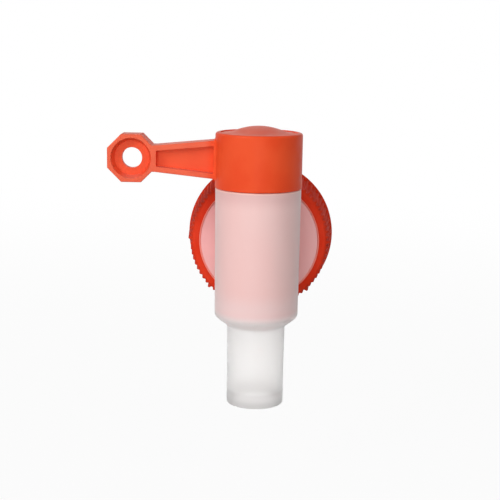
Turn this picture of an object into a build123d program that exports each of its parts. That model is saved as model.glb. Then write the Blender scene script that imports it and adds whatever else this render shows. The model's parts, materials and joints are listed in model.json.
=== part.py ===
from build123d import *
import os

# Quarter-turn tap for a jerrycan with a 61 mm neck.
# The origin is the middle of the gasket's face on the can's mouth. +Y runs along the neck into
# the can, +Z runs up the barrel, and the lever of the closed tap points to -X.

# Fits and wall thicknesses
running_clearance = 0.06
seat_clearance = 0.1
body_wall = 2.3
plug_wall = 2.0

# Barrel and spout
barrel_top_r = 20.4
barrel_draft = 0.3
barrel_top_z = 30.7
barrel_foot_z = -31.2
barrel_foot_round = 3.4
barrel_mouth_round = 0.35
shoulder_drop = 4.7
spout_top_r = 14.0
spout_draft = 0.25
spout_wall = 1.8
spout_length = 38.8
spout_straight = 24.0
spout_root_round = 2.0
spout_lip_round = 0.5

# Neck, flange and gasket, along the neck's axis
neck_length = 7.5
inlet_r = 10.4
lip_thickness = 2.6
lip_gap = 0.2
flange_thickness = 2.4
flange_clearance = 0.2
spigot_reach = 4.0
gasket_thickness = 2.4
gasket_inset = 0.65
gasket_width = 5.2

# Screw collar
thread_major_r = 30.75
collar_lip_overlap = 1.25
collar_opening_bevel = 0.9
collar_depth = 28.8
collar_front_wall = 3.25
collar_base_slope = 0.085
collar_front_bevel = 0.9
skirt_wall = 2.4
thread_length = 8.8
thread_relief = 0.8
rear_band_width = 3.4
rear_band_rise = 1.45
band_round = 0.5
rib_count = 80
large_rib_every = 10
rib_height = 1.05
large_rib_height = 2.05
rib_root_width = 1.7
rib_tip_width = 0.8
rib_root_bite = 0.6
large_rib_tilt = 0.6

# Cap and plug
cap_overhang = 0.2
cap_height = 26.3
cap_gap = 0.15
cap_edge_round = 1.3
cap_foot_round = 0.6
cap_top_wall = 2.6
cap_rim_width = 2.4
cap_rim_depth = 0.45
dome_height = 3.0
dome_crown_share = 0.62
plug_floor_gap = 0.3
plug_lead_in = 0.8
plug_bore_round = 2.0
port_inset = 0.4

# Lever: an arm of I section that ends in an octagonal eye
lever_reach = 60.0
lever_above_middle = 0.2
lever_depth = 10.8
lever_web = 3.2
lever_rib = 2.5
lever_root_inset = 3.7
lever_tip_height = 12.5
lever_round = 0.45
lever_root_round = 1.6
lever_pocket_round = 0.4
lever_pocket_tip_gap = 0.5
lever_pocket_root_gap = 0.5
lever_draft = 3.0
eye_across_flats = 22.6
eye_wall = 1.7
eye_dish = 1.4
eye_hole_r = 4.85

# Plug seal, snap bead and quarter-turn stop
seal_below_mouth = 8.6
seal_groove_depth = 1.0
seal_groove_width = 2.0
seal_round = 0.35
bead_above_floor = 7.6
bead_r = 0.8
bead_rise = 0.5
lever_travel = 90.0
stop_lug_angle = 20.0
stop_play_angle = 1.0
stop_height = 3.0
stop_rise = 1.1

# Places along the neck, from the can's mouth at y = 0 towards the barrel
flange_back_y = -gasket_thickness
spigot_end_y = flange_back_y + spigot_reach
thread_start_y = spigot_end_y + seat_clearance
thread_end_y = thread_start_y + thread_length
flange_front_y = flange_back_y - flange_thickness
lip_back_y = flange_front_y - lip_gap
collar_front_y = lip_back_y - lip_thickness
barrel_y = collar_front_y - neck_length - barrel_top_r

# Radii and heights that follow from the driving dimensions
barrel_foot_r = barrel_top_r - barrel_draft
barrel_bore_r = barrel_top_r - body_wall
plug_r = barrel_bore_r - running_clearance
plug_bore_r = plug_r - plug_wall
shoulder_slope = shoulder_drop / (barrel_foot_r - spout_top_r)
shoulder_wall_rise = body_wall * (1 + shoulder_slope**2) ** 0.5
barrel_floor_z = barrel_foot_z + shoulder_wall_rise - shoulder_slope * (barrel_foot_r - barrel_bore_r)
spout_foot_r = spout_top_r - spout_draft
spout_bore_top_r = spout_top_r - spout_wall
spout_bore_top_z = barrel_floor_z - shoulder_slope * (barrel_bore_r - spout_bore_top_r)
spout_top_z = barrel_foot_z - shoulder_drop
spout_foot_z = spout_top_z - spout_length
collar_opening_r = thread_major_r - collar_lip_overlap
boss_r = collar_opening_r - seat_clearance
flange_r = thread_major_r - flange_clearance
gasket_r = flange_r - gasket_inset
gasket_bore_r = gasket_r - gasket_width
spigot_r = gasket_bore_r - seat_clearance
neck_r = inlet_r + body_wall
neck_flare_end_r = spigot_r - body_wall
neck_flare_r = neck_flare_end_r - neck_r
neck_flare_y = collar_front_y - neck_flare_r
cap_foot_z = barrel_top_z + cap_gap
cap_top_z = cap_foot_z + cap_height
lever_z = cap_foot_z + cap_height / 2 + lever_above_middle
plug_foot_z = barrel_floor_z + plug_floor_gap
bead_z = barrel_floor_z + bead_above_floor
bead_centre_r = plug_r + bead_rise - bead_r
cap_r = barrel_top_r + cap_overhang
port_r = inlet_r - port_inset

barrel_plane = Plane.XZ.offset(-barrel_y)
barrel_axis = Axis((0, barrel_y, 0), (0, 0, 1))


# The body: barrel, conical shoulder, spout, flared neck and stepped flange in one moulding.
with BuildPart() as tap_body:
    with BuildSketch(barrel_plane):
        with BuildLine():
            Polyline(
                (0, spout_foot_z),
                (spout_foot_r, spout_foot_z),
                (spout_foot_r, spout_foot_z + spout_straight),
                (spout_top_r, spout_top_z),
                (barrel_foot_r, barrel_foot_z),
                (barrel_top_r, barrel_top_z),
                (0, barrel_top_z),
                close=True,
            )
        make_face()
    revolve(axis=barrel_axis)
    levels = tap_body.edges().filter_by(GeomType.CIRCLE).group_by(Axis.Z)
    fillet(levels[0], radius=spout_lip_round)
    fillet(levels[2], radius=spout_root_round)
    fillet(levels[3], radius=barrel_foot_round)
    fillet(levels[-1], radius=barrel_mouth_round)

    # The neck flares into the boss that fills the collar's opening, and the flange steps out behind it.
    with BuildSketch(Plane.YZ):
        with BuildLine():
            neck_start = Line((barrel_y, 0), (barrel_y, neck_r))
            neck_side = Line(neck_start @ 1, (neck_flare_y, neck_r))
            flare = RadiusArc(neck_side @ 1, (collar_front_y, neck_flare_end_r), -neck_flare_r)
            Polyline(
                flare @ 1,
                (collar_front_y, boss_r),
                (flange_front_y, boss_r),
                (flange_front_y, flange_r),
                (flange_back_y, flange_r),
                (flange_back_y, spigot_r),
                (spigot_end_y, spigot_r),
                (spigot_end_y, 0),
                neck_start @ 0,
            )
        make_face()
    revolve(axis=Axis.Y)

    # The barrel's bore, with the groove for the plug's snap bead, its conical floor and the spout's bore.
    with BuildSketch(barrel_plane):
        with BuildLine():
            Polyline(
                (0, spout_foot_z),
                (spout_foot_r - spout_wall, spout_foot_z),
                (spout_bore_top_r, spout_bore_top_z),
                (barrel_bore_r, barrel_floor_z),
                (barrel_bore_r, barrel_top_z),
                (0, barrel_top_z),
                close=True,
            )
        make_face()
        with Locations((bead_centre_r, bead_z)):
            Circle(bead_r + running_clearance)
    revolve(axis=barrel_axis, mode=Mode.SUBTRACT)

    # The inlet: a straight bore at the barrel that widens behind the flare, with the same wall all along.
    with BuildSketch(Plane.YZ):
        with BuildLine():
            inlet_start = Line((barrel_y, 0), (barrel_y, inlet_r))
            inlet_side = Line(inlet_start @ 1, (neck_flare_y, inlet_r))
            funnel = RadiusArc(
                inlet_side @ 1, (collar_front_y + body_wall, neck_flare_end_r), -neck_flare_r - body_wall
            )
            Polyline(
                funnel @ 1,
                (spigot_end_y, neck_flare_end_r),
                (spigot_end_y, 0),
                inlet_start @ 0,
            )
        make_face()
    revolve(axis=Axis.Y, mode=Mode.SUBTRACT)

    # A quarter-turn recess in the barrel's mouth, behind the cap, takes the plug's stop lug.
    with BuildSketch(Plane.XY.offset(barrel_top_z)):
        with Locations((0, barrel_y)):
            Circle(barrel_bore_r + stop_rise + seat_clearance)
            Circle(barrel_bore_r - body_wall, mode=Mode.SUBTRACT)
        with BuildLine():
            recess_start = -stop_lug_angle / 2 - stop_play_angle
            recess_sweep = lever_travel + stop_lug_angle + 2 * stop_play_angle
            recess_arc = CenterArc((0, barrel_y), barrel_top_r, recess_start, recess_sweep)
            Line((0, barrel_y), recess_arc @ 0)
            Line((0, barrel_y), recess_arc @ 1)
        make_face(mode=Mode.INTERSECT)
    extrude(amount=-stop_height - seat_clearance, mode=Mode.SUBTRACT)


# The collar: a cone with a plain band at its rear and a lip in front. Its bore has a chamber for the
# flange and gasket, then the length for the thread behind the spigot, then a wider skirt.
collar_rear_y = collar_front_y + collar_depth
band_front_y = collar_rear_y - rear_band_width
collar_base_front_r = thread_major_r + collar_front_wall
face_outer_r = collar_base_front_r - collar_front_bevel
base_rear_r = collar_base_front_r + collar_base_slope * (band_front_y - collar_front_y)
band_r = base_rear_r + rear_band_rise
skirt_bore_r = base_rear_r - skirt_wall


def collar_rib(rise: float) -> Part:
    """One rib in the collar's own frame, with X out along its radius and Z towards the front."""
    rear_tip_r = base_rear_r + min(rise, rear_band_rise)
    root_r = face_outer_r - rib_root_bite
    rear_root_r = base_rear_r - rib_root_bite
    with BuildPart() as rib:
        with BuildSketch(Plane.XZ):
            with BuildLine():
                Polyline(
                    (root_r, -collar_front_y),
                    (face_outer_r, -collar_front_y),
                    (collar_base_front_r + rise, -collar_front_y - collar_front_bevel - rise),
                    (rear_tip_r, -band_front_y),
                    (rear_root_r, -band_front_y),
                    close=True,
                )
            make_face()
        extrude(amount=rib_root_width, both=True)
        with BuildSketch(Plane.XY.offset(-collar_front_y)):
            with BuildLine():
                Polyline(
                    (root_r, -rib_root_width / 2),
                    (rear_tip_r, -rib_tip_width / 2),
                    (rear_tip_r, rib_tip_width / 2),
                    (root_r, rib_root_width / 2),
                    close=True,
                )
            make_face()
        extrude(amount=-collar_depth, mode=Mode.INTERSECT)
    return rib.part


small_rib = collar_rib(rib_height)
large_rib = collar_rib(large_rib_height)

with BuildPart() as screw_collar:
    with BuildSketch(Plane.YZ):
        with BuildLine():
            Polyline(
                (collar_front_y, collar_opening_r + collar_opening_bevel),
                (collar_front_y, face_outer_r),
                (collar_front_y + collar_front_bevel, collar_base_front_r),
                (band_front_y - rear_band_rise, base_rear_r - collar_base_slope * rear_band_rise),
                (band_front_y, band_r),
                (collar_rear_y, band_r),
                (collar_rear_y, skirt_bore_r),
                (thread_end_y + skirt_bore_r - thread_major_r, skirt_bore_r),
                (thread_end_y, thread_major_r),
                (thread_start_y, thread_major_r),
                (thread_start_y - thread_relief, thread_major_r + thread_relief),
                (lip_back_y, thread_major_r + thread_relief),
                (lip_back_y, collar_opening_r),
                (collar_front_y + collar_opening_bevel, collar_opening_r),
                close=True,
            )
        make_face()
    revolve(axis=Axis.Y)
    band_edges = screw_collar.edges().filter_by(GeomType.CIRCLE).group_by(Axis.Y)[-1]
    fillet(band_edges.sort_by(SortBy.RADIUS)[-1], radius=band_round)

    # Small ribs all round, and a larger one at every tenth place.
    with Locations(Plane.XZ):
        with PolarLocations(0, rib_count, start_angle=180 - large_rib_tilt):
            add(small_rib)
        with PolarLocations(0, rib_count // large_rib_every, start_angle=180 - large_rib_tilt):
            add(large_rib)


# The gasket: a flat washer round the spigot, between the flange and the can's mouth.
with BuildPart() as flange_gasket:
    with BuildSketch(Plane.XZ):
        Circle(gasket_r)
        Circle(gasket_bore_r, mode=Mode.SUBTRACT)
    extrude(amount=gasket_thickness)


# The lever: an arm of I section that tapers from the cap to an octagonal eye.
eye_half = eye_across_flats / 2
eye_centre = (-lever_reach, lever_z)
eye_plane = Plane((-lever_reach, barrel_y, lever_z))
eye_recess_r = eye_half - eye_wall
arm_tip_x = eye_half - lever_reach
arm_root_x = -plug_bore_r - plug_wall / 2
pocket_tip_x = arm_tip_x + lever_pocket_tip_gap
pocket_root_x = -cap_r - lever_pocket_root_gap
pocket_depth = (lever_depth - lever_web) / 2
tip_half = lever_tip_height / 2
root_half = cap_height / 2 - lever_root_inset
arm_slope = (root_half - tip_half) / (arm_root_x - arm_tip_x)

with BuildPart() as lever:
    with BuildSketch(barrel_plane):
        with BuildLine():
            Polyline(
                (arm_tip_x - lever_rib, lever_z - tip_half),
                (arm_tip_x, lever_z - tip_half),
                (arm_root_x, lever_z - root_half),
                (arm_root_x, lever_z + root_half),
                (arm_tip_x, lever_z + tip_half),
                (arm_tip_x - lever_rib, lever_z + tip_half),
                close=True,
            )
        make_face()
        with Locations(eye_centre):
            RegularPolygon(eye_half, side_count=8, major_radius=False, rotation=22.5)
    extrude(amount=lever_depth / 2, both=True)
    outline_edges = lever.faces().filter_by(Axis.Y).edges().sort_by(Axis.X)
    fillet(outline_edges[:-2], radius=lever_round)

    # A pocket on each side leaves the web in the middle, and a dished recess on each side of the eye.
    for side in (1, -1):
        with BuildSketch(barrel_plane.offset(side * lever_depth / 2)):
            with BuildLine():
                pocket_tip_half = tip_half + arm_slope * lever_pocket_tip_gap - lever_rib
                pocket_root_half = pocket_tip_half + arm_slope * (pocket_root_x - pocket_tip_x)
                Polyline(
                    (pocket_tip_x, lever_z - pocket_tip_half),
                    (pocket_root_x, lever_z - pocket_root_half),
                    (pocket_root_x, lever_z + pocket_root_half),
                    (pocket_tip_x, lever_z + pocket_tip_half),
                    close=True,
                )
            pocket = make_face()
            fillet(pocket.vertices(), radius=lever_pocket_round)
        extrude(amount=-side * pocket_depth, taper=lever_draft, mode=Mode.SUBTRACT)
    with BuildSketch(eye_plane):
        with BuildLine():
            Polyline(
                (0, -lever_depth / 2),
                (eye_recess_r, -lever_depth / 2),
                (eye_recess_r - eye_dish, -lever_web / 2),
                (eye_hole_r, -lever_web / 2),
                (eye_hole_r, lever_web / 2),
                (eye_recess_r - eye_dish, lever_web / 2),
                (eye_recess_r, lever_depth / 2),
                (0, lever_depth / 2),
                close=True,
            )
        make_face()
    revolve(axis=Axis(eye_plane.origin, eye_plane.y_dir), mode=Mode.SUBTRACT)


# The cap, the lever and the hollow plug in one moulding.
seal_z = barrel_top_z - seal_below_mouth
seal_floor_r = plug_r - seal_groove_depth
dome_crown_r = (cap_r - cap_rim_width) * dome_crown_share
dome_turn_z = cap_top_z - cap_rim_depth + (dome_height + cap_rim_depth) * (1 - dome_crown_share)

with BuildPart() as plug_lever:
    # The cap, with the dome inside its rim, and the plug below it with its snap bead.
    with BuildSketch(barrel_plane):
        with BuildLine():
            outside = Polyline(
                (0, plug_foot_z),
                (plug_r - plug_lead_in, plug_foot_z),
                (plug_r, plug_foot_z + plug_lead_in),
                (plug_r, cap_foot_z),
                (cap_r, cap_foot_z),
                (cap_r, cap_top_z),
                (cap_r - cap_rim_width, cap_top_z),
                (cap_r - cap_rim_width, cap_top_z - cap_rim_depth),
            )
            TangentArc(outside @ 1, (dome_crown_r, dome_turn_z), tangent=(-1, 0))
            crown = TangentArc((0, cap_top_z + dome_height), (dome_crown_r, dome_turn_z), tangent=(1, 0))
            Line(crown @ 0, outside @ 0)
        make_face()
        with Locations((bead_centre_r, bead_z)):
            Circle(bead_r)
    revolve(axis=barrel_axis)
    level_edges = plug_lever.edges().filter_by(GeomType.CIRCLE).filter_by(Plane.XY)
    cap_foot_edge, cap_top_edge = level_edges.group_by(SortBy.RADIUS)[-1].sort_by(Axis.Z)
    fillet(cap_foot_edge, radius=cap_foot_round)
    fillet(cap_top_edge, radius=cap_edge_round)
    add(lever.part)
    root_edges = plug_lever.edges().filter_by(GeomType.CIRCLE, reverse=True)
    root_edges = root_edges.filter_by_position(Axis.X, -cap_r, arm_root_x)
    fillet(root_edges.filter_by_position(Axis.Z, cap_foot_z, cap_top_z), radius=lever_root_round)

    # The hollow inside, open at the foot, with the groove for the seal and the port for the liquid.
    with BuildSketch(barrel_plane):
        with BuildLine():
            Polyline(
                (0, plug_foot_z),
                (plug_bore_r, plug_foot_z),
                (plug_bore_r, cap_top_z - cap_top_wall - plug_bore_round),
                (plug_bore_r - plug_bore_round, cap_top_z - cap_top_wall),
                (0, cap_top_z - cap_top_wall),
                close=True,
            )
        make_face()
        with Locations((plug_r, seal_z)):
            Rectangle(2 * seal_groove_depth, seal_groove_width)
    revolve(axis=barrel_axis, mode=Mode.SUBTRACT)
    with BuildSketch(Plane.YZ):
        with Locations((barrel_y, 0)):
            Circle(port_r)
    extrude(amount=cap_r, mode=Mode.SUBTRACT)

    # The lug under the cap that stops the plug at each end of its quarter turn.
    with BuildSketch(Plane.XY.offset(cap_foot_z)):
        with Locations((0, barrel_y)):
            Circle(plug_r + stop_rise)
            Circle(plug_r - plug_wall / 2, mode=Mode.SUBTRACT)
        with BuildLine():
            lug_arc = CenterArc((0, barrel_y), barrel_top_r, -stop_lug_angle / 2, stop_lug_angle)
            Line((0, barrel_y), lug_arc @ 0)
            Line((0, barrel_y), lug_arc @ 1)
        make_face(mode=Mode.INTERSECT)
    extrude(amount=-stop_height)


# The seal ring, pressed flat between its groove and the barrel's bore.
with BuildPart() as plug_o_ring:
    with BuildSketch(barrel_plane):
        with Locations(((seal_floor_r + plug_r + seat_clearance) / 2, seal_z)):
            RectangleRounded(
                seal_groove_depth - seat_clearance, seal_groove_width - 2 * seat_clearance, seal_round
            )
    revolve(axis=barrel_axis)


os.makedirs("parts", exist_ok=True)
tap_body.part.label = "tap_body"
export_step(tap_body.part, "parts/tap_body.step")
screw_collar.part.label = "screw_collar"
export_step(screw_collar.part, "parts/screw_collar.step")
flange_gasket.part.label = "flange_gasket"
export_step(flange_gasket.part, "parts/flange_gasket.step")
plug_lever.part.label = "plug_lever"
export_step(plug_lever.part, "parts/plug_lever.step")
plug_o_ring.part.label = "plug_o_ring"
export_step(plug_o_ring.part, "parts/plug_o_ring.step")
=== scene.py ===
"""Looks of a quarter-turn jerrycan tap: its finishes, its ribbed screw collar and a plain studio.

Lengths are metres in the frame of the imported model: +Y runs along the neck into the can, +Z runs up
the barrel, and the lever of the closed tap points to -X.
"""

import json
import logging
import math
from collections.abc import Mapping, Sequence
from dataclasses import dataclass
from enum import Enum

import bpy
from mathutils import Matrix, Vector


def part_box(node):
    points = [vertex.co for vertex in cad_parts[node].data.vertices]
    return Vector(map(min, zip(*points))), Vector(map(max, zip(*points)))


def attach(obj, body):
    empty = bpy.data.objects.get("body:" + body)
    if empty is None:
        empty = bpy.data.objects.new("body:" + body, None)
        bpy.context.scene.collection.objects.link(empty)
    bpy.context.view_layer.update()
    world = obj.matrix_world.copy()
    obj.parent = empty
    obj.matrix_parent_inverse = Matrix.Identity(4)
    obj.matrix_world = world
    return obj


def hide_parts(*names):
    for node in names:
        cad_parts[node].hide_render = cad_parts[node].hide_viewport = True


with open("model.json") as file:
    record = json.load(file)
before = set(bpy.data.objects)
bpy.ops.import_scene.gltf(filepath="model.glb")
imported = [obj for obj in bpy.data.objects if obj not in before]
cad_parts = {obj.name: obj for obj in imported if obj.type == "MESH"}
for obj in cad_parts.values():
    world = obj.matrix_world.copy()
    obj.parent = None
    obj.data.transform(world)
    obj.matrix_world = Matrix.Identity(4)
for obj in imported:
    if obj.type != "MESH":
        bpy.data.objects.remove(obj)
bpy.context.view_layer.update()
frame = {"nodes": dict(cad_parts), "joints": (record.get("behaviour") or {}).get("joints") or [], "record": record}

MM = 0.001
PICTURE_SIDE_PX = 500
SENSOR_WIDTH_MM = 36.0

# From the spout's mount up to the barrel's shoulder.
SHOULDER_RISE = 28.5 * MM
# From the flange's edge in to where the painted reflection on the lever starts, and to the collar's opening.
REFLECTION_INSET = 9.0 * MM
OPENING_INSET = 1.15 * MM
# From the spout's foot down to the floor.
FLOOR_DROP = 35 * MM

# Where a step of a noise starts and ends.
SHARP_STEP = (0.35, 0.65)
SOFT_STEP = (0.3, 0.7)

# Sockets of the Map Range and Mix nodes, whose names repeat.
MAP_START, MAP_END = 3, 4
MIX_FIRST, MIX_SECOND, MIX_RESULT = 6, 7, 2

WHITE = (1.0, 1.0, 1.0, 1.0)

Triple = tuple[float, float, float]
Colour = Triple
SocketValue = bpy.types.NodeSocket | float | int | Sequence[float]

log = logging.getLogger("jerrycan_tap")


class Body(Enum):
    """The rigid bodies that a new piece rides."""

    COLLAR = "collar"


class Slot(Enum):
    """The record's material slots."""

    NATURAL = "natural_plastic"
    FOAM = "foam_gasket"
    ORANGE = "orange_plastic"
    SEAL = "seal_rubber"
    RED = "red_plastic"


class Zone(Enum):
    """What the stretch of the collar's section between two corners carries."""

    PLAIN = "plain"
    RIBS = "ribs"
    THREAD = "thread"


def mount(name: str) -> dict:
    """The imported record's mount of that name."""
    return next(m for m in frame["record"]["mounts"] if m["name"] == name)


def joint_place(name: str) -> Vector:
    """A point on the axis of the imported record's joint of that name."""
    return Vector(next(j for j in frame["joints"] if j["name"] == name)["pos_m"])


class TreeBuilder:
    """Adds nodes to a tree and joins them, for geometry and materials alike."""

    def __init__(self, tree: bpy.types.NodeTree) -> None:
        """Starts on a tree.

        Args:
            tree: The node tree to build in.
        """
        self.tree = tree

    def feed(self, socket: bpy.types.NodeSocket, value: SocketValue) -> None:
        """Links a socket to another one, or sets its constant.

        Args:
            socket: The input socket.
            value: An output socket, or the constant.
        """
        if isinstance(value, bpy.types.NodeSocket):
            self.tree.links.new(value, socket)
        else:
            socket.default_value = value

    def node(
        self, kind: str, inputs: Mapping[str | int, SocketValue] | None = None, **settings: object
    ) -> bpy.types.Node:
        """Adds a node.

        Args:
            kind: The node's type name.
            inputs: What goes to its input sockets, by name or index.
            **settings: Its other properties.

        Returns:
            The new node.
        """
        made = self.tree.nodes.new(kind)
        for name, value in settings.items():
            setattr(made, name, value)
        for key, value in (inputs or {}).items():
            self.feed(made.inputs[key], value)
        return made

    def maths(self, operation: str, *values: SocketValue) -> bpy.types.NodeSocket:
        """The result of a Math node.

        Args:
            operation: The node's operation.
            *values: Its inputs, in order.

        Returns:
            The node's output socket.
        """
        return self.node("ShaderNodeMath", dict(enumerate(values)), operation=operation).outputs[0]

    def parts(self, vector: SocketValue) -> tuple[bpy.types.NodeSocket, ...]:
        """The X, Y and Z of a vector."""
        return tuple(self.node("ShaderNodeSeparateXYZ", {0: vector}).outputs)

    def joined(self, x: SocketValue, y: SocketValue) -> bpy.types.NodeSocket:
        """A flat vector of two numbers."""
        return self.node("ShaderNodeCombineXYZ", {0: x, 1: y}).outputs[0]

    def length(self, vector: SocketValue) -> bpy.types.NodeSocket:
        """The length of a vector."""
        return self.node("ShaderNodeVectorMath", {0: vector}, operation="LENGTH").outputs["Value"]

    def ramp(
        self, value: SocketValue, low: SocketValue, high: SocketValue, start: float = 0.0, end: float = 1.0
    ) -> bpy.types.NodeSocket:
        """A smooth step of a value.

        Args:
            value: The value that drives the step.
            low: Where the step starts.
            high: Where the step ends.
            start: The result up to low.
            end: The result from high on.

        Returns:
            The output socket with the step.
        """
        inputs = {0: value, 1: low, 2: high, MAP_START: start, MAP_END: end}
        return self.node("ShaderNodeMapRange", inputs, interpolation_type="SMOOTHSTEP").outputs[0]


class GeometryTree(TreeBuilder):
    """A Geometry Nodes tree with named inputs, run once on an object and turned into its mesh."""

    def __init__(self, name: str) -> None:
        """Makes an empty tree.

        Args:
            name: The tree's name.
        """
        tree = bpy.data.node_groups.new(name, "GeometryNodeTree")
        super().__init__(tree)
        for way in ("INPUT", "OUTPUT"):
            tree.interface.new_socket("Geometry", in_out=way, socket_type="NodeSocketGeometry")
        self.group_input = tree.nodes.new("NodeGroupInput")
        self.group_output = tree.nodes.new("NodeGroupOutput")
        self.values: dict[str, object] = {}

    @property
    def geometry(self) -> bpy.types.NodeSocket:
        """The geometry that comes in."""
        return self.group_input.outputs["Geometry"]

    def size(self, name: str, value: float | int, whole: bool = False) -> bpy.types.NodeSocket:
        """Adds a named number to the tree's inputs.

        Args:
            name: The input's name.
            value: What the modifier gives it.
            whole: Whether it is a whole number.

        Returns:
            The socket that carries it inside the tree.
        """
        kind = "NodeSocketInt" if whole else "NodeSocketFloat"
        made = self.tree.interface.new_socket(name, in_out="INPUT", socket_type=kind)
        self.values[made.identifier] = value
        return self.group_input.outputs[name]

    def named(self, name: str) -> bpy.types.NodeSocket:
        """The number that each point carries under a name."""
        return self.node("GeometryNodeInputNamedAttribute", {"Name": name}, data_type="FLOAT").outputs[0]

    def off_centre(self, number: bpy.types.NodeSocket) -> bpy.types.NodeSocket:
        """How far a number is from the middle between its two whole neighbours."""
        return self.maths("ABSOLUTE", self.maths("SUBTRACT", self.maths("FRACT", number), 0.5))

    def ridge(
        self, distance: bpy.types.NodeSocket, crest: bpy.types.NodeSocket, foot: bpy.types.NodeSocket
    ) -> bpy.types.NodeSocket:
        """The profile of a ridge.

        Args:
            distance: The distance from its middle line.
            crest: How wide its top is.
            foot: How wide its foot is.

        Returns:
            Its height, from 1 on the top to 0 beyond the foot.
        """
        half_crest, half_foot = (self.maths("MULTIPLY", width, 0.5) for width in (crest, foot))
        return self.ramp(distance, half_crest, half_foot, 1.0, 0.0)

    def finish(self, geometry: bpy.types.NodeSocket, material: bpy.types.Material, crease: float) -> None:
        """Ends the tree: smooth shading with creases, real meshes and the material.

        Args:
            geometry: The geometry to give out.
            material: The material for all of it.
            crease: The angle between two faces from which their edge is sharp, in radians.
        """
        angle = self.node("GeometryNodeInputMeshEdgeAngle").outputs["Unsigned Angle"]
        sharp = self.node("FunctionNodeCompare", {"A": angle, "B": crease}, operation="GREATER_THAN")
        smooth = self.node("GeometryNodeSetShadeSmooth", {0: geometry, "Shade Smooth": True}, domain="FACE")
        creased = self.node(
            "GeometryNodeSetShadeSmooth",
            {0: smooth.outputs[0], "Selection": sharp.outputs[0], "Shade Smooth": False},
            domain="EDGE",
        )
        real = self.node("GeometryNodeRealizeInstances", {0: creased.outputs[0]})
        painted = self.node("GeometryNodeSetMaterial", {0: real.outputs[0], "Material": material})
        self.tree.links.new(painted.outputs[0], self.group_output.inputs[0])

    def run(self, piece: bpy.types.Object) -> None:
        """Turns a piece into what the tree makes of it.

        Args:
            piece: The object whose mesh goes in, and is replaced by the result.
        """
        modifier = piece.modifiers.new(self.tree.name, "NODES")
        modifier.node_group = self.tree
        for identifier, value in self.values.items():
            modifier[identifier] = value
        evaluated = piece.evaluated_get(bpy.context.evaluated_depsgraph_get())
        made = bpy.data.meshes.new_from_object(evaluated)
        piece.modifiers.remove(modifier)
        piece.data = made


class MaterialTree(TreeBuilder):
    """A material's node tree, with one Principled shader on its output."""

    def __init__(self, name: str) -> None:
        """Makes a material.

        Args:
            name: The material's name.
        """
        self.material = bpy.data.materials.new(name)
        self.material.use_nodes = True
        super().__init__(self.material.node_tree)
        self.shader = self.tree.nodes["Principled BSDF"]
        coordinates = self.node("ShaderNodeTexCoord").outputs
        self.place = coordinates["Object"]
        self.normal = coordinates["Normal"]

    def noise(
        self, scale: float, detail: float = 3.0, stretch: Triple = (1.0, 1.0, 1.0)
    ) -> bpy.types.NodeSocket:
        """A noise over the piece.

        Args:
            scale: Its waves to a metre.
            detail: How many finer layers it has.
            stretch: Its scale along each axis.

        Returns:
            The noise, from 0 to 1.
        """
        placed = self.node("ShaderNodeMapping", {"Vector": self.place, "Scale": stretch})
        inputs = {"Vector": placed.outputs[0], "Scale": scale, "Detail": detail}
        return self.node("ShaderNodeTexNoise", inputs).outputs["Fac"]

    def blend(self, share: SocketValue, first: SocketValue, second: SocketValue) -> bpy.types.NodeSocket:
        """A mix of two colours.

        Args:
            share: How much of the second, from 0 to 1.
            first: The first colour.
            second: The second colour.

        Returns:
            The mixed colour.
        """
        made = self.node("ShaderNodeMix", {"Factor": share}, data_type="RGBA")
        for index, colour in ((MIX_FIRST, first), (MIX_SECOND, second)):
            flat = not isinstance(colour, bpy.types.NodeSocket)
            self.feed(made.inputs[index], (*colour, 1.0) if flat else colour)
        return made.outputs[MIX_RESULT]

    def bump(self, height: SocketValue, distance: float, strength: float) -> None:
        """Gives the shader a bump.

        Args:
            height: The relief, from 0 to 1.
            distance: How high the relief is, in metres.
            strength: How much of it shows.
        """
        made = self.node("ShaderNodeBump", {"Height": height, "Distance": distance, "Strength": strength})
        self.shade(Normal=made.outputs[0])

    def shade(self, **values: SocketValue) -> None:
        """Sets inputs of the shader, named with _ for each space."""
        for name, value in values.items():
            self.feed(self.shader.inputs[name.replace("_", " ")], value)

    def uneven_gloss(self, noise: bpy.types.NodeSocket, roughness: float, spread: float) -> None:
        """Gives the shader a roughness that varies over the piece.

        Args:
            noise: The noise that it follows.
            roughness: Its middle value.
            spread: How far apart its lowest and highest values are.
        """
        low, high = roughness - spread / 2, roughness + spread / 2
        self.shade(Roughness=self.ramp(noise, *SOFT_STEP, low, high))


@dataclass(frozen=True)
class MouldedPlastic:
    """An opaque moulded plastic with a soft gloss, faint clouds of pigment and a pale painted reflection on its
    upward faces.
    """

    name: str
    colour: Colour
    cloud: Colour
    top_reflection: Colour
    roughness: float = 0.48
    roughness_spread: float = 0.1
    specular: float = 0.2
    cloud_waves: float = 70.0
    grain_waves: float = 2600.0
    grain_height: float = 0.02 * MM
    grain_strength: float = 0.25
    grain_detail: float = 2.0
    scuff_detail: float = 5.0
    scuffs_per_cloud: float = 4.0
    top_reflection_share: float = 0.12
    top_reflection_from: float = 0.7

    def pigment(self, tree: MaterialTree) -> bpy.types.NodeSocket:
        """The clouded colour under the painted reflection.

        Args:
            tree: The material's tree.

        Returns:
            The colour.
        """
        clouds = tree.ramp(tree.noise(self.cloud_waves), *SHARP_STEP)
        return tree.blend(clouds, self.colour, self.cloud)

    def build(self) -> bpy.types.Material:
        """Makes the material.

        Returns:
            The material.
        """
        tree = MaterialTree(self.name)
        _, _, upward = tree.parts(tree.normal)
        # Painted reflection: faces that point up are mixed towards a pale colour, for the bright surround that
        # they reflect.
        top_reflection = tree.ramp(upward, self.top_reflection_from, 1.0, 0.0, self.top_reflection_share)
        tree.shade(
            Base_Color=tree.blend(top_reflection, self.pigment(tree), self.top_reflection), Specular_IOR_Level=self.specular
        )
        scuffs = tree.noise(self.cloud_waves * self.scuffs_per_cloud, self.scuff_detail)
        tree.uneven_gloss(scuffs, self.roughness, self.roughness_spread)
        grain = tree.noise(self.grain_waves, self.grain_detail)
        tree.bump(grain, self.grain_height, self.grain_strength)
        return tree.material


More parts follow.
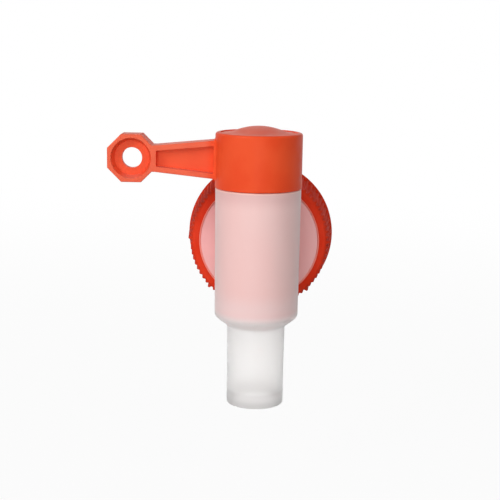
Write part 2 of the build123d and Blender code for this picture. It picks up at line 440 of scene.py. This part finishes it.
@dataclass(frozen=True)
class LeverPlastic(MouldedPlastic):
    """The lever's plastic, with a pale painted reflection from the cap outwards, strongest on its proud faces."""

    lever_reflection_from_x: float = 0.0
    middle_y: float = 0.0
    half_depth: float = 5.4 * MM
    lever_reflection_fade: float = 4 * MM
    rim_fade: float = 0.8 * MM
    rim_inset: float = 0.2 * MM
    lever_reflection_share: float = 0.03
    lever_reflection_rim_share: float = 0.06
    lever_reflection: Colour = (0.92, 0.66, 0.5)

    def pigment(self, tree: MaterialTree) -> bpy.types.NodeSocket:
        """The clouded colour, with the painted reflection on its faces.

        Args:
            tree: The material's tree.

        Returns:
            The colour.
        """
        x, y, _ = tree.parts(tree.place)
        # Painted reflection: paler towards the lever's end and near its front and back faces.
        outwards = tree.ramp(x, self.lever_reflection_from_x - self.lever_reflection_fade, self.lever_reflection_from_x, 1.0, 0.0)
        depth = tree.maths("ABSOLUTE", tree.maths("SUBTRACT", y, self.middle_y))
        low, high = self.half_depth - self.rim_fade, self.half_depth - self.rim_inset
        share = tree.ramp(depth, low, high, self.lever_reflection_share, self.lever_reflection_share + self.lever_reflection_rim_share)
        return tree.blend(tree.maths("MULTIPLY", outwards, share), super().pigment(tree), self.lever_reflection)


@dataclass(frozen=True)
class CollarPlastic(MouldedPlastic):
    """The collar's plastic, with a painted glow round its opening for light coming through the thin lip."""

    opening_r: float = 0.0
    front_y: float = 0.0
    bevel: float = 0.95 * MM
    lip_depth: float = 2.8 * MM
    bevel_fade: float = 0.15 * MM
    painted_glow_colour: Colour = (1.0, 0.4, 0.33)

    def pigment(self, tree: MaterialTree) -> bpy.types.NodeSocket:
        """The clouded colour, with the painted glow on the bevel and the lip.

        Args:
            tree: The material's tree.

        Returns:
            The colour.
        """
        x, y, z = tree.parts(tree.place)
        # Painted glow over the opening's bevel and the lip's inner wall, which would otherwise lie in shade.
        radius = tree.length(tree.joined(x, z))
        outer = self.opening_r + self.bevel
        near_axis = tree.ramp(radius, outer - self.bevel_fade, outer, 1.0, 0.0)
        rear = self.front_y + self.lip_depth
        in_front = tree.ramp(y, rear, rear + self.bevel_fade, 1.0, 0.0)
        share = tree.maths("MULTIPLY", near_axis, in_front)
        return tree.blend(share, super().pigment(tree), self.painted_glow_colour)


@dataclass(frozen=True)
class Tint:
    """The colour and clearness of the natural moulding from a height upwards, or painted shade and highlight at
    that height.
    """

    start_z: float
    colour: Colour
    clear: float
    fade: float


@dataclass(frozen=True)
class NaturalPlastic:
    """Unpigmented, translucent plastic that takes a blush from the red pieces inside and around it. Some of its
    tints paint shade and highlight, and its disc is painted bright for light coming through it.
    """

    name: str
    tints: tuple[Tint, ...]
    disc: Colour
    disc_y: float
    disc_fade: float = 4 * MM
    sheen: float = 0.4
    sheen_roughness: float = 0.6
    ior: float = 1.18
    specular: float = 1.0
    roughness: float = 0.38
    roughness_spread: float = 0.12
    flow: Colour = (0.97, 0.9, 0.88)
    flow_waves: float = 45.0
    flow_share: float = 0.12
    flow_stretch: Triple = (1.0, 1.0, 0.45)
    haze_detail: float = 4.0
    hazes_per_flow: float = 6.0
    grain_waves: float = 1900.0
    grain_height: float = 0.02 * MM
    grain_strength: float = 0.2
    grain_detail: float = 2.0

    def build(self) -> bpy.types.Material:
        """Makes the material.

        Returns:
            The material.
        """
        tree = MaterialTree(self.name)
        _, y, z = tree.parts(tree.place)
        below = self.tints[0]
        colour: SocketValue = below.colour
        clear: SocketValue = below.clear
        for tint in self.tints[1:]:
            low, high = tint.start_z - tint.fade / 2, tint.start_z + tint.fade / 2
            colour = tree.blend(tree.ramp(z, low, high), colour, tint.colour)
            clear = tree.maths("ADD", clear, tree.ramp(z, low, high, 0.0, tint.clear - below.clear))
            below = tint
        behind = tree.ramp(y, self.disc_y - self.disc_fade, self.disc_y)
        painted = tree.blend(behind, colour, self.disc)
        streaks = tree.noise(self.flow_waves, stretch=self.flow_stretch)
        flow = tree.ramp(streaks, *SOFT_STEP, 0.0, self.flow_share)
        tree.shade(
            Base_Color=tree.blend(flow, painted, self.flow),
            Transmission_Weight=tree.maths("MULTIPLY", clear, tree.maths("SUBTRACT", 1.0, behind)),
            Sheen_Weight=self.sheen,
            Sheen_Roughness=self.sheen_roughness,
            IOR=self.ior,
            Specular_IOR_Level=self.specular,
        )
        haze = tree.noise(self.flow_waves * self.hazes_per_flow, self.haze_detail)
        tree.uneven_gloss(haze, self.roughness, self.roughness_spread)
        grain = tree.noise(self.grain_waves, self.grain_detail)
        tree.bump(grain, self.grain_height, self.grain_strength)
        return tree.material


@dataclass(frozen=True)
class SoftRubber:
    """Foam or silicone: matt, with pores of its own size."""

    name: str
    colour: Colour
    pore: Colour
    pore_waves: float
    pore_height: float
    roughness: float
    pore_edge: tuple[float, float] = (0.1, 0.6)
    pore_strength: float = 0.6

    def build(self) -> bpy.types.Material:
        """Makes the material.

        Returns:
            The material.
        """
        tree = MaterialTree(self.name)
        cells = tree.node("ShaderNodeTexVoronoi", {"Vector": tree.place, "Scale": self.pore_waves})
        depth = tree.ramp(cells.outputs["Distance"], *self.pore_edge)
        tree.shade(
            Base_Color=tree.blend(depth, self.pore, self.colour),
            Roughness=tree.ramp(depth, 0.0, 1.0, 1.0, self.roughness),
        )
        tree.bump(depth, self.pore_height, self.pore_strength)
        return tree.material


@dataclass(frozen=True)
class Corner:
    """A corner of the collar's section, and what the stretch after it carries."""

    radius: float
    y: float
    round: float = 0.0
    zone: Zone = Zone.PLAIN


@dataclass(frozen=True)
class Station:
    """A point on the collar's section."""

    radius: float
    y: float
    zone: Zone


@dataclass(frozen=True)
class ScrewCollar:
    """The ribbed screw collar, as one closed skin swept round the neck's axis."""

    thread_major_r: float
    thread_start_y: float
    thread_end_y: float
    front_y: float
    rear_y: float
    band_r: float
    lip_overlap: float = 1.25 * MM
    lip_thickness: float = 2.6 * MM
    opening_bevel: float = 0.9 * MM
    front_wall: float = 3.25 * MM
    front_bevel: float = 0.9 * MM
    front_round: float = 0.5 * MM
    thread_relief: float = 0.8 * MM
    band_width: float = 3.4 * MM
    band_rise: float = 1.45 * MM
    band_round: float = 0.5 * MM
    skirt_wall: float = 2.4 * MM
    edge_round: float = 0.3 * MM
    rib_count: int = 80
    large_rib_every: int = 10
    rib_height: float = 1.0 * MM
    large_rib_height: float = 2.0 * MM
    rib_crest_share: float = 0.2
    rib_foot_share: float = 0.72
    large_rib_tilt_deg: float = 0.6
    columns_per_rib: int = 12
    thread_pitch: float = 4.2 * MM
    thread_depth: float = 1.25 * MM
    thread_crest: float = 0.9 * MM
    thread_root: float = 2.3 * MM
    row_spacing: float = 1.3 * MM
    thread_row_spacing: float = 0.33 * MM
    arc_steps: int = 3
    crease_deg: float = 38.0

    def base_rear_r(self) -> float:
        """The cone's radius in front of the rear band."""
        return self.band_r - self.band_rise

    def base_front_r(self) -> float:
        """The cone's radius behind the front bevel."""
        return self.thread_major_r + self.front_wall

    def band_front_y(self) -> float:
        """Where the rear band starts."""
        return self.rear_y - self.band_width

    def corners(self) -> list[Corner]:
        """The section's corners, from the opening round the outside and back through the bore."""
        opening_r = self.thread_major_r - self.lip_overlap
        face_r = self.base_front_r() - self.front_bevel
        slope = (self.base_rear_r() - self.base_front_r()) / (self.band_front_y() - self.front_y)
        skirt_r = self.base_rear_r() - self.skirt_wall
        relief_r = self.thread_major_r + self.thread_relief
        lip_back_y = self.front_y + self.lip_thickness
        return [
            Corner(opening_r + self.opening_bevel, self.front_y, self.edge_round),
            Corner(face_r, self.front_y, self.front_round),
            Corner(self.base_front_r(), self.front_y + self.front_bevel, self.front_round, Zone.RIBS),
            Corner(
                self.base_rear_r() - slope * self.band_rise,
                self.band_front_y() - self.band_rise,
                zone=Zone.RIBS,
            ),
            Corner(self.band_r, self.band_front_y(), self.edge_round),
            Corner(self.band_r, self.rear_y, self.band_round),
            Corner(skirt_r, self.rear_y, self.edge_round),
            Corner(skirt_r, self.thread_end_y + skirt_r - self.thread_major_r),
            Corner(self.thread_major_r, self.thread_end_y, zone=Zone.THREAD),
            Corner(self.thread_major_r, self.thread_start_y),
            Corner(relief_r, self.thread_start_y - self.thread_relief),
            Corner(relief_r, lip_back_y),
            Corner(opening_r, lip_back_y, self.edge_round),
            Corner(opening_r, self.front_y + self.opening_bevel, self.edge_round),
        ]

    def trace(self) -> list[Station]:
        """Rounds the section's corners and divides its stretches.

        Returns:
            The points of the section, in order.
        """
        corners = self.corners()
        points: list[Station] = []
        exits: list[tuple[Vector, Vector]] = []
        for index, corner in enumerate(corners):
            here = Vector((corner.radius, corner.y))
            before = corners[index - 1]
            after = corners[(index + 1) % len(corners)]
            back = (Vector((before.radius, before.y)) - here).normalized() * corner.round
            on = (Vector((after.radius, after.y)) - here).normalized() * corner.round
            exits.append((here + back, here + on))
        for index, corner in enumerate(corners):
            here = Vector((corner.radius, corner.y))
            entry, leave = exits[index]
            if corner.round:
                for step in range(self.arc_steps):
                    t = step / self.arc_steps
                    bend = entry * (1 - t) ** 2 + here * 2 * t * (1 - t) + leave * t**2
                    points.append(Station(bend.x, bend.y, corner.zone))
            spacing = self.thread_row_spacing if corner.zone is Zone.THREAD else self.row_spacing
            target = exits[(index + 1) % len(corners)][0]
            steps = max(1, math.ceil((target - leave).length / spacing))
            for step in range(steps):
                place = leave.lerp(target, step / steps)
                points.append(Station(place.x, place.y, corner.zone))
        return points

    def rise(self, station: Station, height: float) -> float:
        """How far a rib stands above the section at a point of it.

        Args:
            station: The point.
            height: The rib's height over the cone.

        Returns:
            The rise along the radius.
        """
        if station.zone is not Zone.RIBS:
            return 0.0
        top_front_y = self.front_y + self.front_bevel + height
        top_front_r = self.base_front_r() + height
        top_rear_r = self.base_rear_r() + min(height, self.band_rise)
        along = (station.y - top_front_y) / (self.band_front_y() - top_front_y)
        top_r = top_front_r + (top_rear_r - top_front_r) * max(0.0, along)
        chamfer_r = self.base_front_r() + station.y - self.front_y - self.front_bevel
        return max(0.0, min(top_r, chamfer_r) - station.radius)

    def thread_share(self, station: Station) -> float:
        """How much of the thread's depth stands at a point of the section, fading at both ends."""
        if station.zone is not Zone.THREAD:
            return 0.0
        to_end = min(station.y - self.thread_start_y, self.thread_end_y - station.y)
        return min(1.0, max(0.0, to_end / self.thread_depth))

    def section_object(self, middle_r: float) -> bpy.types.Object:
        """The section as a closed line that carries each point's rises.

        Args:
            middle_r: The radius of the circle that it is swept along.

        Returns:
            An object with the line's mesh.
        """
        stations = self.trace()
        mesh = bpy.data.meshes.new("collar_section")
        count = len(stations)
        mesh.from_pydata(
            [(s.radius - middle_r, s.y, 0.0) for s in stations],
            [(i, (i + 1) % count) for i in range(count)],
            [],
        )
        carried = {
            "small_rise": [self.rise(s, self.rib_height) for s in stations],
            "large_rise": [self.rise(s, self.large_rib_height) for s in stations],
            "thread_share": [self.thread_share(s) for s in stations],
        }
        for name, values in carried.items():
            mesh.attributes.new(name, "FLOAT", "POINT").data.foreach_set("value", values)
        made = bpy.data.objects.new("ribbed_collar", mesh)
        bpy.context.scene.collection.objects.link(made)
        return made

    def rib_rise(self, tree: GeometryTree, angle: bpy.types.NodeSocket) -> bpy.types.NodeSocket:
        """How far the ribs stand out.

        Args:
            tree: The collar's tree.
            angle: The angle of the point round the axis.

        Returns:
            The rise along the radius.
        """
        ribs = tree.size("Rib Count", self.rib_count, whole=True)
        every = tree.size("Large Rib Every", self.large_rib_every, whole=True)
        tilt = tree.size("Large Rib Tilt", math.radians(180.0 - self.large_rib_tilt_deg))
        crest = tree.size("Rib Crest Share", self.rib_crest_share)
        foot = tree.size("Rib Foot Share", self.rib_foot_share)
        turns = tree.maths("DIVIDE", tree.maths("SUBTRACT", angle, tilt), math.tau)
        place = tree.maths("ADD", tree.maths("MULTIPLY", turns, ribs), 0.5)
        number = tree.maths("FLOORED_MODULO", tree.maths("FLOOR", place), every)
        is_large = tree.maths("LESS_THAN", number, 0.5)
        small = tree.named("small_rise")
        extra = tree.maths("SUBTRACT", tree.named("large_rise"), small)
        height = tree.maths("ADD", small, tree.maths("MULTIPLY", is_large, extra))
        return tree.maths("MULTIPLY", height, tree.ridge(tree.off_centre(place), crest, foot))

    def thread_rise(
        self, tree: GeometryTree, angle: bpy.types.NodeSocket, along: bpy.types.NodeSocket
    ) -> bpy.types.NodeSocket:
        """How far the thread stands into the bore.

        Args:
            tree: The collar's tree.
            angle: The angle of the point round the axis.
            along: Its place along the axis.

        Returns:
            The rise along the radius, towards the axis.
        """
        pitch = tree.size("Thread Pitch", self.thread_pitch)
        depth = tree.size("Thread Depth", self.thread_depth)
        crest = tree.size("Thread Crest", self.thread_crest)
        root = tree.size("Thread Root", self.thread_root)
        wound = tree.maths("ADD", tree.maths("DIVIDE", along, pitch), tree.maths("DIVIDE", angle, math.tau))
        profile = tree.ridge(tree.maths("MULTIPLY", tree.off_centre(wound), pitch), crest, root)
        return tree.maths("MULTIPLY", tree.maths("MULTIPLY", profile, depth), tree.named("thread_share"))

    def build(self, material: bpy.types.Material) -> bpy.types.Object:
        """Makes the collar.

        Args:
            material: Its finish.

        Returns:
            The finished piece.
        """
        middle_r = self.thread_major_r
        piece = self.section_object(middle_r)
        tree = GeometryTree("collar_sweep")
        columns = tree.size("Columns", self.rib_count * self.columns_per_rib, whole=True)
        path_r = tree.size("Middle Radius", middle_r)
        path = tree.node("GeometryNodeCurvePrimitiveCircle", {"Resolution": columns, "Radius": path_r})
        section = tree.node("GeometryNodeMeshToCurve", {0: tree.geometry})
        swept = tree.node("GeometryNodeCurveToMesh", {0: path.outputs[0], 1: section.outputs[0]})

        x, y, z = tree.parts(tree.node("GeometryNodeInputPosition").outputs[0])
        angle = tree.maths("ARCTAN2", y, x)
        rise = tree.maths("SUBTRACT", self.rib_rise(tree, angle), self.thread_rise(tree, angle, z))
        outward = tree.node("ShaderNodeVectorMath", {0: tree.joined(x, y)}, operation="NORMALIZE")
        move = tree.node("ShaderNodeVectorMath", {0: outward.outputs[0], "Scale": rise}, operation="SCALE")
        shaped = tree.node("GeometryNodeSetPosition", {0: swept.outputs[0], "Offset": move.outputs[0]})
        upright = (math.radians(90.0), 0.0, 0.0)
        turned = tree.node("GeometryNodeTransform", {0: shaped.outputs[0], "Rotation": upright})
        tree.finish(turned.outputs[0], material, math.radians(self.crease_deg))
        tree.run(piece)
        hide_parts("screw_collar")
        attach(piece, Body.COLLAR.value)
        return piece


@dataclass(frozen=True)
class DressedNode:
    """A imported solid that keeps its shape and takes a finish."""

    node: str
    slot: Slot

    def build(self, material: bpy.types.Material) -> bpy.types.Object:
        """Gives the solid its finish.

        Args:
            material: The finish.

        Returns:
            The solid's object.
        """
        piece = frame["nodes"][self.node]
        piece.data.materials.clear()
        piece.data.materials.append(material)
        return piece


@dataclass(frozen=True)
class Softbox:
    """A square lamp that looks at the tap.

    Its level is the share that it gives of the light at which a colour renders as it is written.
    """

    name: str
    left_deg: float
    up_deg: float
    level: float
    side: float = 0.7
    distance: float = 1.15
    glossy: bool = True

    def build(self, target: Vector) -> None:
        """Makes the lamp.

        Args:
            target: The point that it looks at.
        """
        left, up = math.radians(self.left_deg), math.radians(self.up_deg)
        towards = Vector((-math.sin(left) * math.cos(up), -math.cos(left) * math.cos(up), math.sin(up)))
        lamp = bpy.data.lights.new(self.name, "AREA")
        lamp.energy = self.level * (math.pi * self.distance) ** 2
        lamp.size = self.side
        made = bpy.data.objects.new(self.name, lamp)
        made.location = target + towards * self.distance
        made.rotation_euler = (-towards).to_track_quat("-Z", "Y").to_euler()
        made.visible_camera = False
        made.visible_glossy = self.glossy
        bpy.context.scene.collection.objects.link(made)


@dataclass(frozen=True)
class PhotoCamera:
    """The camera of the photograph, as fitted to the tap's outline."""

    place: Triple = (15.129 * MM, -553.759 * MM, 100.347 * MM)
    pitch_deg: float = 11.02
    yaw_deg: float = 2.05
    roll_deg: float = 0.96
    focal_px: float = 1100.08
    centre_drop_px: float = 2.71
    near: float = 10 * MM

    def build(self) -> None:
        """Makes the camera and sets it as the scene's."""
        pitch, yaw, roll = (math.radians(a) for a in (self.pitch_deg, self.yaw_deg, self.roll_deg))
        forward = Vector(
            (-math.sin(yaw) * math.cos(pitch), math.cos(yaw) * math.cos(pitch), -math.sin(pitch))
        )
        level = Vector((math.cos(yaw), math.sin(yaw), 0.0))
        upright = level.cross(forward)
        right = level * math.cos(roll) + upright * math.sin(roll)
        up = upright * math.cos(roll) - level * math.sin(roll)
        lens = bpy.data.cameras.new("photo_camera")
        lens.sensor_width = SENSOR_WIDTH_MM
        lens.lens = self.focal_px * SENSOR_WIDTH_MM / PICTURE_SIDE_PX
        lens.shift_y = self.centre_drop_px / PICTURE_SIDE_PX
        lens.clip_start = self.near
        made = bpy.data.objects.new("photo_camera", lens)
        turn = Matrix((right, up, -forward)).transposed().to_4x4()
        made.matrix_world = Matrix.Translation(Vector(self.place)) @ turn
        bpy.context.scene.collection.objects.link(made)
        bpy.context.scene.camera = made


@dataclass(frozen=True)
class Studio:
    """A pale floor, a white surround and soft lamps."""

    target: Vector
    floor_z: float
    floor_radius: float = 6.0
    floor_white: float = 0.95
    floor_fade: tuple[float, float] = (0.2, 1.0)
    floor_colour: Colour = (0.5, 0.5, 0.5)
    surround_light: float = 0.1
    lamps: tuple[Softbox, ...] = (
        Softbox("front_lamp", left_deg=4.0, up_deg=12.0, level=0.55, side=0.8, glossy=False),
        Softbox("left_lamp", left_deg=50.0, up_deg=27.0, level=0.39, side=0.4),
        Softbox("right_lamp", left_deg=-50.0, up_deg=52.0, level=0.16, side=0.6, glossy=False),
        Softbox("rear_lamp", left_deg=182.0, up_deg=10.0, level=0.48, side=0.6, glossy=False),
    )

    def seen_white(self, tree: TreeBuilder) -> bpy.types.NodeSocket:
        """Whether a ray comes from the camera, a reflection or through the plastic.

        Args:
            tree: The tree that asks.

        Returns:
            The output socket, 0 or 1.
        """
        ray = tree.node("ShaderNodeLightPath").outputs
        seen = tree.maths("MAXIMUM", ray["Is Camera Ray"], ray["Is Glossy Ray"])
        return tree.maths("MAXIMUM", seen, ray["Is Transmission Ray"])

    def build_surround(self) -> None:
        """Makes the world: white to the eye, dimmer as a light."""
        world = bpy.data.worlds.new("surround")
        world.use_nodes = True
        bpy.context.scene.world = world
        tree = TreeBuilder(world.node_tree)
        ground = world.node_tree.nodes["Background"].inputs
        ground["Color"].default_value = WHITE
        inputs = {0: self.seen_white(tree), MAP_START: self.surround_light, MAP_END: 1.0}
        tree.feed(ground["Strength"], tree.node("ShaderNodeMapRange", inputs).outputs[0])

    def build_floor(self) -> None:
        """Makes the floor: close to white, with the tap's faint shadow."""
        r = self.floor_radius
        corners = ((-r, -r), (r, -r), (r, r), (-r, r))
        mesh = bpy.data.meshes.new("floor")
        mesh.from_pydata([(x, y, self.floor_z) for x, y in corners], [], [(0, 1, 2, 3)])
        floor = bpy.data.objects.new("floor", mesh)
        bpy.context.scene.collection.objects.link(floor)
        material = bpy.data.materials.new("floor_paint")
        material.use_nodes = True
        nodes = material.node_tree.nodes
        tree = TreeBuilder(material.node_tree)
        nodes.remove(nodes["Principled BSDF"])
        paint = tree.node("ShaderNodeBsdfDiffuse", {"Color": (*self.floor_colour, 1.0)})
        white = tree.node("ShaderNodeEmission", {"Color": WHITE, "Strength": 1.0})
        away = tree.length(tree.node("ShaderNodeTexCoord").outputs["Object"])
        white_share = tree.ramp(away, *self.floor_fade, self.floor_white, 1.0)
        share = tree.maths("MULTIPLY", self.seen_white(tree), white_share)
        mixed = tree.node("ShaderNodeMixShader", {0: share, 1: paint.outputs[0], 2: white.outputs[0]})
        tree.feed(nodes["Material Output"].inputs["Surface"], mixed.outputs[0])
        mesh.materials.append(material)

    def build(self) -> None:
        """Makes the surround, the floor and the lamps."""
        self.build_surround()
        self.build_floor()
        for lamp in self.lamps:
            lamp.build(self.target)
        bpy.context.scene.view_settings.view_transform = "Standard"


def write_sizes() -> None:
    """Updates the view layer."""
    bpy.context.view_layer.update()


def main() -> None:
    """Builds the camera, the finishes, the pieces and the studio."""
    logging.basicConfig(level=logging.INFO, format="%(name)s: %(message)s")
    PhotoCamera().build()

    body_low, body_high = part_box("tap_body")
    collar_low, collar_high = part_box("screw_collar")
    barrel_axis = joint_place("lever_turn")
    spout = mount("spout_outside")
    thread = mount("neck_thread")
    thread_half = thread["dims"]["length_mm"] * MM / 2

    foot_z, mouth_z = body_low.z, body_high.z
    shoulder_z = spout["pos_m"][2] + SHOULDER_RISE
    natural = NaturalPlastic(
        "natural_plastic",
        tints=(
            # The two lowest tints paint a band of shade round the spout's mouth.
            Tint(foot_z, (0.68, 0.67, 0.665), clear=0.65, fade=0.0),
            Tint(foot_z + 3.0 * MM, (0.8, 0.785, 0.78), clear=0.75, fade=3.0 * MM),
            Tint(foot_z + 7.0 * MM, (0.97, 0.965, 0.96), clear=0.8, fade=2.0 * MM),
            # Where the blush fades out at the shoulder, also painted paler for light on its downward faces.
            Tint(shoulder_z, (1.0, 0.93, 0.92), clear=0.6, fade=3.0 * MM),
            Tint(shoulder_z + 5.0 * MM, (1.0, 0.72, 0.7), clear=0.15, fade=5.0 * MM),
            Tint(shoulder_z + 14.0 * MM, (0.98, 0.63, 0.6), clear=0.08, fade=10.0 * MM),
            # Painted shade under the cap.
            Tint(mouth_z - 5.0 * MM, (0.87, 0.52, 0.5), clear=0.08, fade=8.0 * MM),
            # Painted highlight on the barrel's top edge.
            Tint(mouth_z - 0.6 * MM, (1.0, 0.6, 0.53), clear=0.08, fade=0.4 * MM),
        ),
        # The disc's pink, painted near full brightness for the glow of light coming through it.
        disc=(0.96, 0.47, 0.46),
        disc_y=collar_low.y,
    ).build()
    orange = LeverPlastic(
        "orange_plastic",
        colour=(0.83, 0.072, 0.017),
        cloud=(0.86, 0.088, 0.023),
        # Painted reflection on the lever's upward faces.
        top_reflection=(0.48, 0.42, 0.39),
        top_reflection_share=0.2,
        # Painted reflection on the lever from here outwards.
        lever_reflection_from_x=body_low.x + REFLECTION_INSET,
        middle_y=spout["pos_m"][1],
    ).build()
    red = CollarPlastic(
        "red_plastic",
        colour=(0.74, 0.04, 0.013),
        cloud=(0.78, 0.052, 0.02),
        # Painted reflection on the collar's upward faces.
        top_reflection=(0.85, 0.6, 0.55),
        top_reflection_share=0.03,
        roughness=0.6,
        specular=0.03,
        opening_r=body_high.x - OPENING_INSET,
        front_y=collar_low.y,
    ).build()
    foam = SoftRubber(
        "foam_gasket",
        colour=(0.85, 0.84, 0.8),
        pore=(0.6, 0.58, 0.54),
        pore_waves=2200.0,
        pore_height=0.08 * MM,
        roughness=0.75,
    ).build()
    silicone = SoftRubber(
        "seal_rubber",
        colour=(0.82, 0.8, 0.78),
        pore=(0.74, 0.72, 0.7),
        pore_waves=900.0,
        pore_height=0.01 * MM,
        roughness=0.45,
    ).build()

    pieces = [
        DressedNode("tap_body", Slot.NATURAL).build(natural),
        DressedNode("plug_lever", Slot.ORANGE).build(orange),
        DressedNode("plug_o_ring", Slot.SEAL).build(silicone),
        DressedNode("flange_gasket", Slot.FOAM).build(foam),
        ScrewCollar(
            thread_major_r=thread["dims"]["r_mm"] * MM,
            thread_start_y=thread["pos_m"][1] - thread_half,
            thread_end_y=thread["pos_m"][1] + thread_half,
            front_y=collar_low.y,
            rear_y=collar_high.y,
            band_r=collar_high.x,
        ).build(red),
    ]
    Studio(target=barrel_axis, floor_z=body_low.z - FLOOR_DROP).build()
    write_sizes()


if __name__ == "__main__":
    main()
